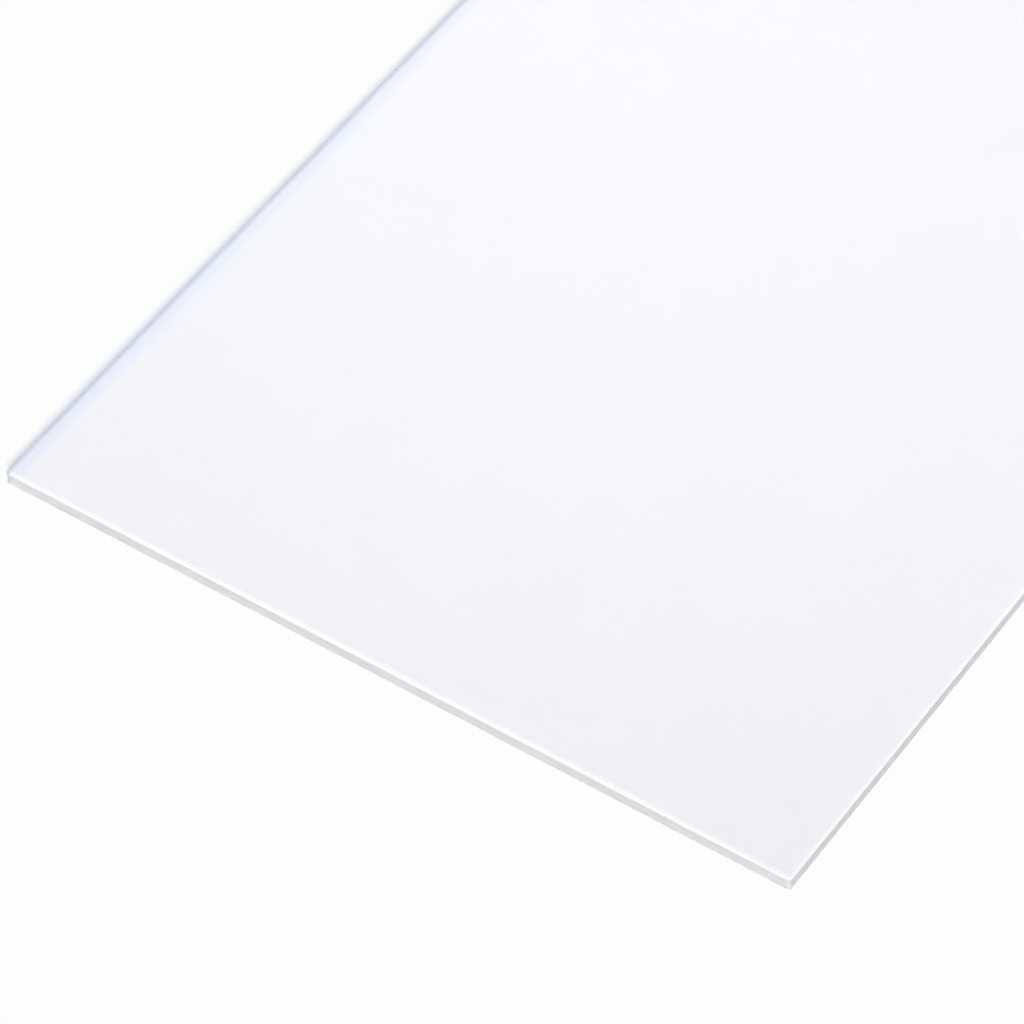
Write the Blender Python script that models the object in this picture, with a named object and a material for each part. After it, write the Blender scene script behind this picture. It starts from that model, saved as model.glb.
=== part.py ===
"""A flat sheet of translucent silicone rubber, cut to size and lying on its face.

Sheet rubber of this kind is cured between smooth plates, so both broad faces are
flat and parallel. It is then cut to size with a blade that comes down through the
top face. The blade draws the rubber down as it enters, so the top arris is rounded
over, and it leaves the bottom arris nearly sharp. It also squeezes the rubber while
it cuts, and the edge springs back a little hollow at mid-thickness. The four
corners keep a small radius in plan where two cuts meet. The sheet is one piece.

Metres, +Z up. The origin is the centre of the underside, X runs along the short
side and Y along the long side.
"""

import math

import bmesh
import bpy

# Driving dimensions of the sheet
SHEET_WIDTH = 0.200
SHEET_LENGTH = 0.300
THICKNESS = 0.003

# Driving dimensions of its cut edge, the corner radius as measured on the top face
FACE_CORNER_RADIUS = 0.0005
TOP_ARRIS_RADIUS = 0.0003
BOTTOM_ARRIS_RADIUS = 0.0001
CUT_HOLLOW = 0.00012

# Facets along each round stretch
CORNER_STEPS = 6
ARRIS_STEPS = 4
HOLLOW_STEPS = 8

# Translucent rubber: a milky, faintly blue white with a satin face
RUBBER_COLOUR = (0.86, 0.88, 0.93, 1.0)
RUBBER_ROUGHNESS = 0.35
RUBBER_IOR = 1.41
SMOOTH_BELOW = math.radians(35)

# A thin sheet has no room for the full arris at both faces
TOP_ARRIS = min(TOP_ARRIS_RADIUS, THICKNESS / 4)
BOTTOM_ARRIS = min(BOTTOM_ARRIS_RADIUS, THICKNESS / 4)
OUTER_CORNER_RADIUS = FACE_CORNER_RADIUS + TOP_ARRIS


def clear_scene():
    for old in list(bpy.data.objects):
        bpy.data.objects.remove(old)


def translucent_rubber():
    material = bpy.data.materials.new("translucent_rubber")
    material.use_nodes = True
    shader = material.node_tree.nodes["Principled BSDF"]
    shader.inputs["Base Color"].default_value = RUBBER_COLOUR
    shader.inputs["Metallic"].default_value = 0.0
    shader.inputs["Roughness"].default_value = RUBBER_ROUGHNESS
    shader.inputs["IOR"].default_value = RUBBER_IOR
    return material


def arris_points(radius):
    """(inset, depth into the sheet) round an arris, from its broad face to the cut edge."""
    points = []
    for step in range(ARRIS_STEPS + 1):
        angle = math.radians(90) * step / ARRIS_STEPS
        inset = radius * (1 - math.sin(angle))
        depth = radius * (1 - math.cos(angle))
        points.append((inset, depth))
    return points


def hollow_points():
    """(inset, height) up the cut edge between its two arrises, deepest half way."""
    low = BOTTOM_ARRIS
    high = THICKNESS - TOP_ARRIS
    points = []
    for step in range(1, HOLLOW_STEPS):
        share = step / HOLLOW_STEPS
        inset = CUT_HOLLOW * (1 - (2 * share - 1) ** 2)
        points.append((inset, low + share * (high - low)))
    return points


def edge_profile():
    """The section of the cut edge as (inset, height), from the underside to the top face."""
    lower = arris_points(BOTTOM_ARRIS)
    upper = [(inset, THICKNESS - depth) for inset, depth in reversed(arris_points(TOP_ARRIS))]
    return lower + hollow_points() + upper


def outline(inset, height):
    """The sheet's outline at one height, taken in by inset all round, anticlockwise."""
    radius = OUTER_CORNER_RADIUS - inset
    centre_x = SHEET_WIDTH / 2 - OUTER_CORNER_RADIUS
    centre_y = SHEET_LENGTH / 2 - OUTER_CORNER_RADIUS
    points = []
    for quarter, (side_x, side_y) in enumerate(((1, 1), (-1, 1), (-1, -1), (1, -1))):
        for step in range(CORNER_STEPS + 1):
            angle = math.radians(90) * (quarter + step / CORNER_STEPS)
            x = side_x * centre_x + radius * math.cos(angle)
            y = side_y * centre_y + radius * math.sin(angle)
            points.append((x, y, height))
    return points


def sheet_mesh():
    """Lofts the outline up the edge profile and closes it with the two broad faces."""
    shape = bmesh.new()
    rings = []
    for inset, height in edge_profile():
        rings.append([shape.verts.new(point) for point in outline(inset, height)])
    for lower, upper in zip(rings, rings[1:]):
        for i in range(len(lower)):
            j = (i + 1) % len(lower)
            shape.faces.new((lower[i], lower[j], upper[j], upper[i]))
    shape.faces.new(reversed(rings[0]))
    shape.faces.new(rings[-1])
    mesh = bpy.data.meshes.new("silicone_sheet")
    shape.to_mesh(mesh)
    shape.free()
    mesh.shade_smooth()
    mesh.set_sharp_from_angle(angle=SMOOTH_BELOW)
    return mesh


def build_sheet():
    sheet = bpy.data.objects.new("silicone_sheet", sheet_mesh())
    sheet.data.materials.append(translucent_rubber())
    bpy.context.scene.collection.objects.link(sheet)
    return sheet


clear_scene()
build_sheet()
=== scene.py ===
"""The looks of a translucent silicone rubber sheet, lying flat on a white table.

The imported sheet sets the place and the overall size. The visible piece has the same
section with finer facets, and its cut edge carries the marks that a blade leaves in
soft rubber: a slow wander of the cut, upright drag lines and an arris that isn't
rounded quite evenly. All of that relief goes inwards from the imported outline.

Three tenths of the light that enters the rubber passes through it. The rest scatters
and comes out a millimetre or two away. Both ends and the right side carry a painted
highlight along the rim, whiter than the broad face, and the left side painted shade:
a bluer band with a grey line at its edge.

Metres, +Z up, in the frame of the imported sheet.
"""

import math
import random

import bmesh
import bpy
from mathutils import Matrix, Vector


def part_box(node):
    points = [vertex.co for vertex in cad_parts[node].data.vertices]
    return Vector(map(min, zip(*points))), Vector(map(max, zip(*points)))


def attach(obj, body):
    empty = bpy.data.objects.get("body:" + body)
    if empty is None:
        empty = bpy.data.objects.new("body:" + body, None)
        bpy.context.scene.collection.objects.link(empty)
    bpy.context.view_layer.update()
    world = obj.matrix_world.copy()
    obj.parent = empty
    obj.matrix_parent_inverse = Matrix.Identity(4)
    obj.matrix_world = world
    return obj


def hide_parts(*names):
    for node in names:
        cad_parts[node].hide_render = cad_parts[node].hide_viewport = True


# The edge's section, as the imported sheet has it
TOP_ARRIS = 0.0003
BOTTOM_ARRIS = 0.0001
FACE_CORNER_RADIUS = 0.0005
CUT_HOLLOW = 0.00012

# Facets of the visible piece, and the flat strip that borders each broad face
CUT_STEP = 0.0009
CORNER_STEPS = 10
ARRIS_STEPS = 6
HOLLOW_STEPS = 10
FLAT_BAND = 0.0003

# Relief of the cut edge. The wander is a sum of waves, each with its turns round the sheet
WANDER = 0.000035
WANDER_WAVES = 9
FEWEST_TURNS = 6
MOST_TURNS = 60
LEAST_WEIGHT = 0.4
DRAG_DEPTH = 0.000014
DRAG_COUNT = 2000
ARRIS_UNEVEN = 0.25
ARRIS_LAG = 2.0
RELIEF_SEED = 11

# Camera, from the photograph's vanishing point and the sheet's three visible edges
CAMERA_PLACE = (0.4808, -0.8191, 0.9944)
CAMERA_TURN = math.radians(33.87)
CAMERA_PITCH = math.radians(48.8)
CAMERA_LENS = 216.0
SENSOR_WIDTH = 36.0

# What light does in the rubber, with the scatter radius of red, green and blue in millimetres
RUBBER_IOR = 1.41
TRANSMISSION = 0.3
SCATTER = 1.0
SCATTER_RADIUS = (2.0, 1.8, 1.5)
SCATTER_SCALE = 0.001

# Tones of the broad face and of the cut edge, among them painted light: a painted highlight
# on the rim, painted shade in the left band and line, and painted light from the table at the cut's
# foot
FACE_COLOUR = (0.920, 0.923, 0.936, 1)
FACE_CLOUD = (0.907, 0.912, 0.931, 1)
# Painted highlight: the rim at both ends and the right side is drawn whiter, as where light comes in
PAINTED_RIM_HIGHLIGHT_COLOUR = (0.985, 0.985, 0.985, 1)
# Painted shade: the bluer band along the left side, away from the sun
PAINTED_SHADE_BAND_COLOUR = (0.832, 0.882, 0.955, 1)
# Painted shade: the grey line at the left edge
PAINTED_SHADE_LINE_COLOUR = (0.70, 0.735, 0.83, 1)
CUT_COLOUR = (0.930, 0.922, 0.920, 1)
# Painted light: the cut edge is lighter at its foot, as if lit from the table
PAINTED_FOOT_LIGHT_COLOUR = (0.990, 0.972, 0.946, 1)
SCORED_COLOUR = (0.5, 0.5, 0.5, 1)
FACE_ROUGHNESS = 0.35
ROUGHNESS_SWING = 0.03
CUT_ROUGHNESS = 0.60

# How upright the normal is where the cut's look is whole, and where the face's look is whole
CUT_UPRIGHT = 0.35
FACE_UPRIGHT = 0.95

# How far in the painted rim highlights and the left side's painted shade line reach, and the share of
# that which has their full tone
PAINTED_END_HIGHLIGHT_REACH = 0.00165
PAINTED_RIGHT_HIGHLIGHT_REACH = 0.0012
PAINTED_RIGHT_HIGHLIGHT_SHARE = 0.85
SHADE_LINE_WIDTH = 0.0014
FULL_TONE = 0.3

# Where the left side's painted shade band starts to fade and where it ends
SHADE_BAND_START = 0.0020
SHADE_BAND_END = 0.0052

# Fine texture: clouds and waves of the plates, their grain, and the blade's upright lines
CLOUD_SIZE = 0.030
WAVE_SIZE = 0.012
WAVE_DEPTH = 0.000012
WAVE_LOW = 0.25
WAVE_HIGH = 0.75
GRAIN_SIZE = 0.0007
GRAIN_DEPTH = 0.0000025
BLADE_LINE_WIDTH = 0.0004
BLADE_LINE_LENGTH = 0.012
BLADE_LINE_DEPTH = 0.00003
BLADE_LINE_TONE = 0.10

# Light: a faint fill, a sun from the near right, a low one from the far left and a lamp above
WORLD_FILL = 0.14
FILL_COLOUR = (0.80, 0.92, 1.20, 1)
WHITE = (1, 1, 1, 1)
SUN_STRENGTH = 2.78
SUN_AZIMUTH = 35.9
SUN_ELEVATION = 33.6
SUN_SPREAD = 21.0
BACK_SUN_STRENGTH = 1.1
BACK_SUN_AZIMUTH = 225.0
BACK_SUN_ELEVATION = 8.0
BACK_SUN_SPREAD = 20.0
TOP_LAMP_PLACE = (-0.06, 0.06, 0.50)
TOP_LAMP_SIZE = 0.2
TOP_LAMP_POWER = 1.18
TOP_LAMP_COLOUR = (1.0, 0.97, 0.945)

# Table: what lights the rubber, what shows through it, and the look that the camera gets,
# which is a diffuse part that takes the shadow and a lift that brings it to white
FLOOR_DROP = 0.00003
FLOOR_SIZE = 30.0
PAPER_COLOUR = (0.62, 0.62, 0.62, 1)
THROUGH_COLOUR = (0.96, 0.965, 0.975, 1)
SEEN_SHADED = (0.830, 0.738, 0.504, 1)
SEEN_LIFT = (0.480, 0.526, 0.649, 1)


def arris_points(radius):
    """(inset, depth into the sheet) round an arris, from its broad face to the cut edge."""
    points = []
    for step in range(ARRIS_STEPS + 1):
        angle = math.radians(90) * step / ARRIS_STEPS
        points.append((radius * (1 - math.sin(angle)), radius * (1 - math.cos(angle))))
    return points


def edge_profile(thickness, top_radius, bottom_radius):
    """The cut edge's section as (inset, height, share up the cut), from the underside up."""
    lower = [(inset, depth, 0.0) for inset, depth in arris_points(bottom_radius)]
    upper = [(inset, thickness - depth, 1.0) for inset, depth in reversed(arris_points(top_radius))]
    hollow = []
    for step in range(1, HOLLOW_STEPS):
        share = step / HOLLOW_STEPS
        inset = CUT_HOLLOW * (1 - (2 * share - 1) ** 2)
        height = bottom_radius + share * (thickness - top_radius - bottom_radius)
        hollow.append((inset, height, share))
    return lower + hollow + upper


def outline_stations(width, length):
    """(x, y, outward x, outward y, run) anticlockwise along the outermost line, and its length."""
    radius = FACE_CORNER_RADIUS + TOP_ARRIS
    half_x = width / 2 - radius
    half_y = length / 2 - radius
    corners = ((half_x, half_y), (-half_x, half_y), (-half_x, -half_y), (half_x, -half_y))
    stations = []
    run = 0.0
    for quarter, (centre_x, centre_y) in enumerate(corners):
        for step in range(CORNER_STEPS + 1):
            angle = math.radians(90) * (quarter + step / CORNER_STEPS)
            out_x = math.cos(angle)
            out_y = math.sin(angle)
            stations.append((centre_x + radius * out_x, centre_y + radius * out_y, out_x, out_y, run))
            if step < CORNER_STEPS:
                run += radius * math.radians(90) / CORNER_STEPS
        next_x, next_y = corners[(quarter + 1) % 4]
        span = math.hypot(next_x - centre_x, next_y - centre_y)
        count = round(span / CUT_STEP)
        start_x, start_y, out_x, out_y, _ = stations[-1]
        for step in range(1, count):
            share = step / count
            x = start_x + (next_x - centre_x) * share
            y = start_y + (next_y - centre_y) * share
            stations.append((x, y, out_x, out_y, run + span * share))
        run += span
    return stations, run


class BladeRelief:
    """What the blade did at each place round the edge, as functions of the run."""

    def __init__(self, around):
        draw = random.Random(RELIEF_SEED)
        self.around = around
        self.waves = []
        for _ in range(WANDER_WAVES):
            turns = draw.randint(FEWEST_TURNS, MOST_TURNS)
            phase = draw.uniform(0, 2 * math.pi)
            self.waves.append((turns, phase, draw.uniform(LEAST_WEIGHT, 1.0)))
        self.drags = [draw.random() for _ in range(DRAG_COUNT)]

    def slow(self, run, lag=0.0):
        """A smooth wave from -1 to 1 that closes on itself round the edge."""
        turn = 2 * math.pi * run / self.around
        height = 0.0
        total = 0.0
        for turns, phase, weight in self.waves:
            height += weight * math.sin(turns * turn + phase + lag)
            total += weight
        return height / total

    def wander(self, run):
        """How far in the cut strays."""
        return WANDER * (1 - self.slow(run)) / 2

    def drag(self, run):
        """Depth of the upright drag lines."""
        place = run / CUT_STEP
        cell = int(place)
        low = self.drags[cell % len(self.drags)]
        high = self.drags[(cell + 1) % len(self.drags)]
        return DRAG_DEPTH * (low + (high - low) * (place - cell))

    def arris(self, run):
        """Radius of the top arris."""
        return TOP_ARRIS * (1 + ARRIS_UNEVEN * self.slow(run, lag=ARRIS_LAG))


def edge_column(relief, run, thickness):
    """(inset, height) up the relieved cut edge at one place, with a flat strip at both ends."""
    support = TOP_ARRIS * (1 + ARRIS_UNEVEN) + FLAT_BAND
    points = [(support, 0.0)]
    for inset, height, share in edge_profile(thickness, relief.arris(run), BOTTOM_ARRIS):
        points.append((inset + relief.drag(run) * math.sin(math.pi * share), height))
    points.append((support, thickness))
    return [(inset + relief.wander(run), height) for inset, height in points]


def sheet_piece(low, high):
    """The visible sheet: the section carried round the outline, closed by its two broad faces."""
    centre = (low + high) / 2
    origin = Vector((centre.x, centre.y, low.z))
    stations, around = outline_stations(high.x - low.x, high.y - low.y)
    relief = BladeRelief(around)

    shape = bmesh.new()
    columns = []
    for x, y, out_x, out_y, run in stations:
        column = []
        for inset, height in edge_column(relief, run, high.z - low.z):
            place = Vector((x - out_x * inset, y - out_y * inset, height))
            column.append(shape.verts.new(place + origin))
        columns.append(column)
    for here, after in zip(columns, columns[1:] + columns[:1]):
        for i in range(len(here) - 1):
            shape.faces.new((here[i], after[i], after[i + 1], here[i + 1]))
    shape.faces.new([column[0] for column in reversed(columns)])
    shape.faces.new([column[-1] for column in columns])
    mesh = bpy.data.meshes.new("rubber_sheet")
    shape.to_mesh(mesh)
    shape.free()
    mesh.shade_smooth()
    piece = bpy.data.objects.new("rubber_sheet", mesh)
    bpy.context.scene.collection.objects.link(piece)
    return piece


def feed(tree, value, socket):
    """Sets a socket to a plain value, or links another socket to it."""
    if isinstance(value, bpy.types.NodeSocket):
        tree.links.new(value, socket)
    else:
        socket.default_value = value


def number(tree, operation, first, second=0.0):
    node = tree.nodes.new("ShaderNodeMath")
    node.operation = operation
    feed(tree, first, node.inputs[0])
    feed(tree, second, node.inputs[1])
    return node.outputs[0]


def ease(tree, value, start, end, low=0.0, high=1.0):
    """Goes smoothly from low to high while value goes from start to end."""
    node = tree.nodes.new("ShaderNodeMapRange")
    node.interpolation_type = "SMOOTHSTEP"
    feed(tree, value, node.inputs["Value"])
    feed(tree, start, node.inputs["From Min"])
    feed(tree, end, node.inputs["From Max"])
    feed(tree, low, node.inputs["To Min"])
    feed(tree, high, node.inputs["To Max"])
    return node.outputs["Result"]


def fade(tree, value, start, end, most=1.0):
    """Goes smoothly from most to 0 while value goes from start to end."""
    return ease(tree, value, start, end, most, 0.0)


def blend(tree, factor, first, second):
    node = tree.nodes.new("ShaderNodeMix")
    node.data_type = "RGBA"
    feed(tree, factor, node.inputs["Factor"])
    feed(tree, first, node.inputs["A"])
    feed(tree, second, node.inputs["B"])
    return node.outputs["Result"]


def split(tree, vector):
    """The X, Y and Z of a vector, by name."""
    node = tree.nodes.new("ShaderNodeSeparateXYZ")
    tree.links.new(vector, node.inputs[0])
    return node.outputs


def noise(tree, where, size, detail=0.0):
    """Soft random values round 0.5, in blobs of about the given size in metres."""
    node = tree.nodes.new("ShaderNodeTexNoise")
    feed(tree, where, node.inputs["Vector"])
    node.inputs["Scale"].default_value = 1 / size
    node.inputs["Detail"].default_value = detail
    return node.outputs["Fac"]


def upright_lines(tree, where):
    """The fine lines that the blade leaves from top to bottom of the cut."""
    drawn_out = tree.nodes.new("ShaderNodeVectorMath")
    drawn_out.operation = "MULTIPLY"
    drawn_out.inputs[1].default_value = (1, 1, BLADE_LINE_WIDTH / BLADE_LINE_LENGTH)
    tree.links.new(where, drawn_out.inputs[0])
    return noise(tree, drawn_out.outputs[0], BLADE_LINE_WIDTH, detail=2.0)


def bump(tree, height, depth, strength, under=None):
    """A relief of the given depth in metres, laid over another one."""
    node = tree.nodes.new("ShaderNodeBump")
    node.inputs["Distance"].default_value = depth
    feed(tree, strength, node.inputs["Strength"])
    feed(tree, height, node.inputs["Height"])
    if under is not None:
        tree.links.new(under, node.inputs["Normal"])
    return node.outputs["Normal"]


def face_colour(tree, where, half_x, half_y):
    """The broad face: faint clouds, the painted shade of the left side's band and line, and a painted
    highlight on the rim.
    """
    place = split(tree, where)
    from_left = number(tree, "ADD", place["X"], half_x)
    from_right = number(tree, "SUBTRACT", half_x, place["X"])
    from_end = number(tree, "SUBTRACT", half_y, number(tree, "ABSOLUTE", place["Y"]))
    # Painted shade: the bluer band along the left side
    painted_shade_band = fade(tree, from_left, SHADE_BAND_START, SHADE_BAND_END)
    # Painted shade: the grey line at the left edge
    painted_shade_line = fade(tree, from_left, SHADE_LINE_WIDTH * FULL_TONE, SHADE_LINE_WIDTH)
    # Painted highlight along the rim at both ends and the right side
    painted_end_highlight = fade(tree, from_end, PAINTED_END_HIGHLIGHT_REACH * FULL_TONE, PAINTED_END_HIGHLIGHT_REACH)
    painted_right_highlight = fade(tree, from_right, PAINTED_RIGHT_HIGHLIGHT_REACH * FULL_TONE, PAINTED_RIGHT_HIGHLIGHT_REACH, PAINTED_RIGHT_HIGHLIGHT_SHARE)
    painted_rim_highlight = number(tree, "MAXIMUM", painted_end_highlight, painted_right_highlight)

    clouds = noise(tree, where, CLOUD_SIZE, detail=3.0)
    face = blend(tree, clouds, FACE_COLOUR, FACE_CLOUD)
    face = blend(tree, painted_shade_band, face, PAINTED_SHADE_BAND_COLOUR)
    face = blend(tree, painted_rim_highlight, face, PAINTED_RIM_HIGHLIGHT_COLOUR)
    return blend(tree, painted_shade_line, face, PAINTED_SHADE_LINE_COLOUR)


def cut_colour(tree, where, blade_lines, thickness):
    """The cut edge: painted light from the table makes it lighter at its foot, with the blade's lines
    a little darker.
    """
    # Painted light from the table: the cut is lighter towards its foot
    up_the_cut = ease(tree, split(tree, where)["Z"], 0.0, thickness)
    side = blend(tree, up_the_cut, PAINTED_FOOT_LIGHT_COLOUR, CUT_COLOUR)
    scored = number(tree, "MULTIPLY", blade_lines, BLADE_LINE_TONE)
    return blend(tree, scored, side, SCORED_COLOUR)


def rubber_material(half_x, half_y, thickness):
    """Milky, faintly blue rubber: plate-smooth faces, a painted highlight on the rim, painted shade
    at the left side, and greyer cut faces with painted light at their foot.
    """
    material = bpy.data.materials.new("translucent_rubber")
    material.use_nodes = True
    tree = material.node_tree
    shader = tree.nodes["Principled BSDF"]
    shader.subsurface_method = "BURLEY"
    shader.inputs["IOR"].default_value = RUBBER_IOR
    shader.inputs["Subsurface Weight"].default_value = SCATTER
    shader.inputs["Subsurface Radius"].default_value = SCATTER_RADIUS
    shader.inputs["Subsurface Scale"].default_value = SCATTER_SCALE

    coordinates = tree.nodes.new("ShaderNodeTexCoord")
    where = coordinates.outputs["Object"]
    upright = number(tree, "ABSOLUTE", split(tree, coordinates.outputs["Normal"])["Z"])
    cut = fade(tree, upright, CUT_UPRIGHT, FACE_UPRIGHT)
    waves = noise(tree, where, WAVE_SIZE)
    grain = noise(tree, where, GRAIN_SIZE, detail=1.0)
    blade_lines = upright_lines(tree, where)

    face = face_colour(tree, where, half_x, half_y)
    side = cut_colour(tree, where, blade_lines, thickness)
    tree.links.new(blend(tree, cut, face, side), shader.inputs["Base Color"])

    smoothest = FACE_ROUGHNESS - ROUGHNESS_SWING
    roughest = FACE_ROUGHNESS + ROUGHNESS_SWING
    face_roughness = ease(tree, waves, WAVE_LOW, WAVE_HIGH, smoothest, roughest)
    roughness = ease(tree, cut, 0.0, 1.0, face_roughness, CUT_ROUGHNESS)
    tree.links.new(roughness, shader.inputs["Roughness"])

    # The share of light that goes into the rubber also comes out of it again
    side_met = tree.nodes.new("ShaderNodeNewGeometry")
    passed = number(tree, "MAXIMUM", side_met.outputs["Backfacing"], TRANSMISSION)
    tree.links.new(passed, shader.inputs["Transmission Weight"])

    relief = bump(tree, waves, WAVE_DEPTH, 1.0)
    relief = bump(tree, grain, GRAIN_DEPTH, 1.0, relief)
    relief = bump(tree, blade_lines, BLADE_LINE_DEPTH, cut, relief)
    tree.links.new(relief, shader.inputs["Normal"])
    return material


def plain(tree, kind, colour):
    """A shader of one colour."""
    node = tree.nodes.new(kind)
    node.inputs["Color"].default_value = colour
    return node.outputs[0]


def white_where_seen(tree, shader, seen, through):
    """Swaps shader for what camera and glossy rays see, and for what shows through the rubber."""
    path = tree.nodes.new("ShaderNodeLightPath")
    direct = number(tree, "MAXIMUM", path.outputs["Is Camera Ray"], path.outputs["Is Glossy Ray"])
    for factor, look in ((direct, seen), (path.outputs["Is Transmission Ray"], through)):
        mix = tree.nodes.new("ShaderNodeMixShader")
        tree.links.new(factor, mix.inputs["Fac"])
        tree.links.new(shader, mix.inputs[1])
        tree.links.new(look, mix.inputs[2])
        shader = mix.outputs[0]
    return shader


def make_floor():
    bpy.ops.mesh.primitive_plane_add(size=FLOOR_SIZE, location=(0, 0, -FLOOR_DROP))
    floor = bpy.context.object
    floor.name = "floor"
    material = bpy.data.materials.new("white_table")
    material.use_nodes = True
    tree = material.node_tree
    tree.nodes.remove(tree.nodes["Principled BSDF"])
    paper = plain(tree, "ShaderNodeBsdfDiffuse", PAPER_COLOUR)
    through = plain(tree, "ShaderNodeEmission", THROUGH_COLOUR)
    seen = tree.nodes.new("ShaderNodeAddShader")
    tree.links.new(plain(tree, "ShaderNodeBsdfDiffuse", SEEN_SHADED), seen.inputs[0])
    tree.links.new(plain(tree, "ShaderNodeEmission", SEEN_LIFT), seen.inputs[1])
    table = white_where_seen(tree, paper, seen.outputs[0], through)
    tree.links.new(table, tree.nodes["Material Output"].inputs["Surface"])
    floor.data.materials.append(material)


def make_world():
    """A faint blue fill that camera, glossy and transmission rays see as plain white."""
    world = bpy.data.worlds.new("studio")
    bpy.context.scene.world = world
    world.use_nodes = True
    tree = world.node_tree
    fill = tree.nodes["Background"]
    fill.inputs["Color"].default_value = FILL_COLOUR
    fill.inputs["Strength"].default_value = WORLD_FILL
    white = plain(tree, "ShaderNodeBackground", WHITE)
    sky = white_where_seen(tree, fill.outputs[0], white, white)
    tree.links.new(sky, tree.nodes["World Output"].inputs["Surface"])


def make_sun(name, strength, azimuth, elevation, spread):
    """A far lamp. Azimuth 0 shines along +Y."""
    data = bpy.data.lights.new(name, "SUN")
    data.energy = strength
    data.angle = math.radians(spread)
    sun = bpy.data.objects.new(name, data)
    sun.rotation_euler = (math.radians(90 - elevation), 0, math.radians(azimuth))
    bpy.context.scene.collection.objects.link(sun)
    return sun


def make_top_lamp():
    """A lamp over the sheet's far left quarter, so the face is brightest there."""
    data = bpy.data.lights.new("top_lamp", "AREA")
    data.shape = "SQUARE"
    data.size = TOP_LAMP_SIZE
    data.energy = TOP_LAMP_POWER
    data.color = TOP_LAMP_COLOUR
    lamp = bpy.data.objects.new("top_lamp", data)
    lamp.location = TOP_LAMP_PLACE
    bpy.context.scene.collection.objects.link(lamp)
    return lamp


def make_lamps(sheet):
    """The main sun lights everything, the other two light the sheet alone."""
    sun = make_sun("sun", SUN_STRENGTH, SUN_AZIMUTH, SUN_ELEVATION, SUN_SPREAD)
    back_sun = make_sun(
        "back_sun", BACK_SUN_STRENGTH, BACK_SUN_AZIMUTH, BACK_SUN_ELEVATION, BACK_SUN_SPREAD
    )
    top_lamp = make_top_lamp()
    sheet_alone = bpy.data.collections.new("sheet_alone")
    sheet_alone.objects.link(sheet)
    back_sun.light_linking.receiver_collection = sheet_alone
    top_lamp.light_linking.receiver_collection = sheet_alone
    # The satin face mirrors the white room and not the lamps
    for lamp in (sun, back_sun, top_lamp):
        lamp.visible_camera = False
        lamp.visible_glossy = False
        lamp.visible_transmission = False


def make_camera():
    data = bpy.data.cameras.new("camera")
    data.lens = CAMERA_LENS
    data.sensor_width = SENSOR_WIDTH
    camera = bpy.data.objects.new("camera", data)
    camera.location = CAMERA_PLACE
    camera.rotation_euler = (math.radians(90) - CAMERA_PITCH, 0, CAMERA_TURN)
    bpy.context.scene.collection.objects.link(camera)
    bpy.context.scene.camera = camera


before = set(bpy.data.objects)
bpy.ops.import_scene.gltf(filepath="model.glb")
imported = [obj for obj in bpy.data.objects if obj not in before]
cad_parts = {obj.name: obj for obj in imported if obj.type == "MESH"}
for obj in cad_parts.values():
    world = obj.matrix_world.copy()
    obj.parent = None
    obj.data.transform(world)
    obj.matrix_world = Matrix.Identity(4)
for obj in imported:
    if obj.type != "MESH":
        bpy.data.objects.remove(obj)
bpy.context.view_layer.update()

low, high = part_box("silicone_sheet")
sheet = sheet_piece(low, high)
sheet.data.materials.append(rubber_material(high.x, high.y, high.z - low.z))
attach(sheet, "root")
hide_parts("silicone_sheet")
# The light that the cut edges throw back would burn out the table beside them
sheet.visible_diffuse = False

make_camera()
make_floor()
make_world()
make_lamps(sheet)
bpy.context.scene.view_settings.view_transform = "Standard"
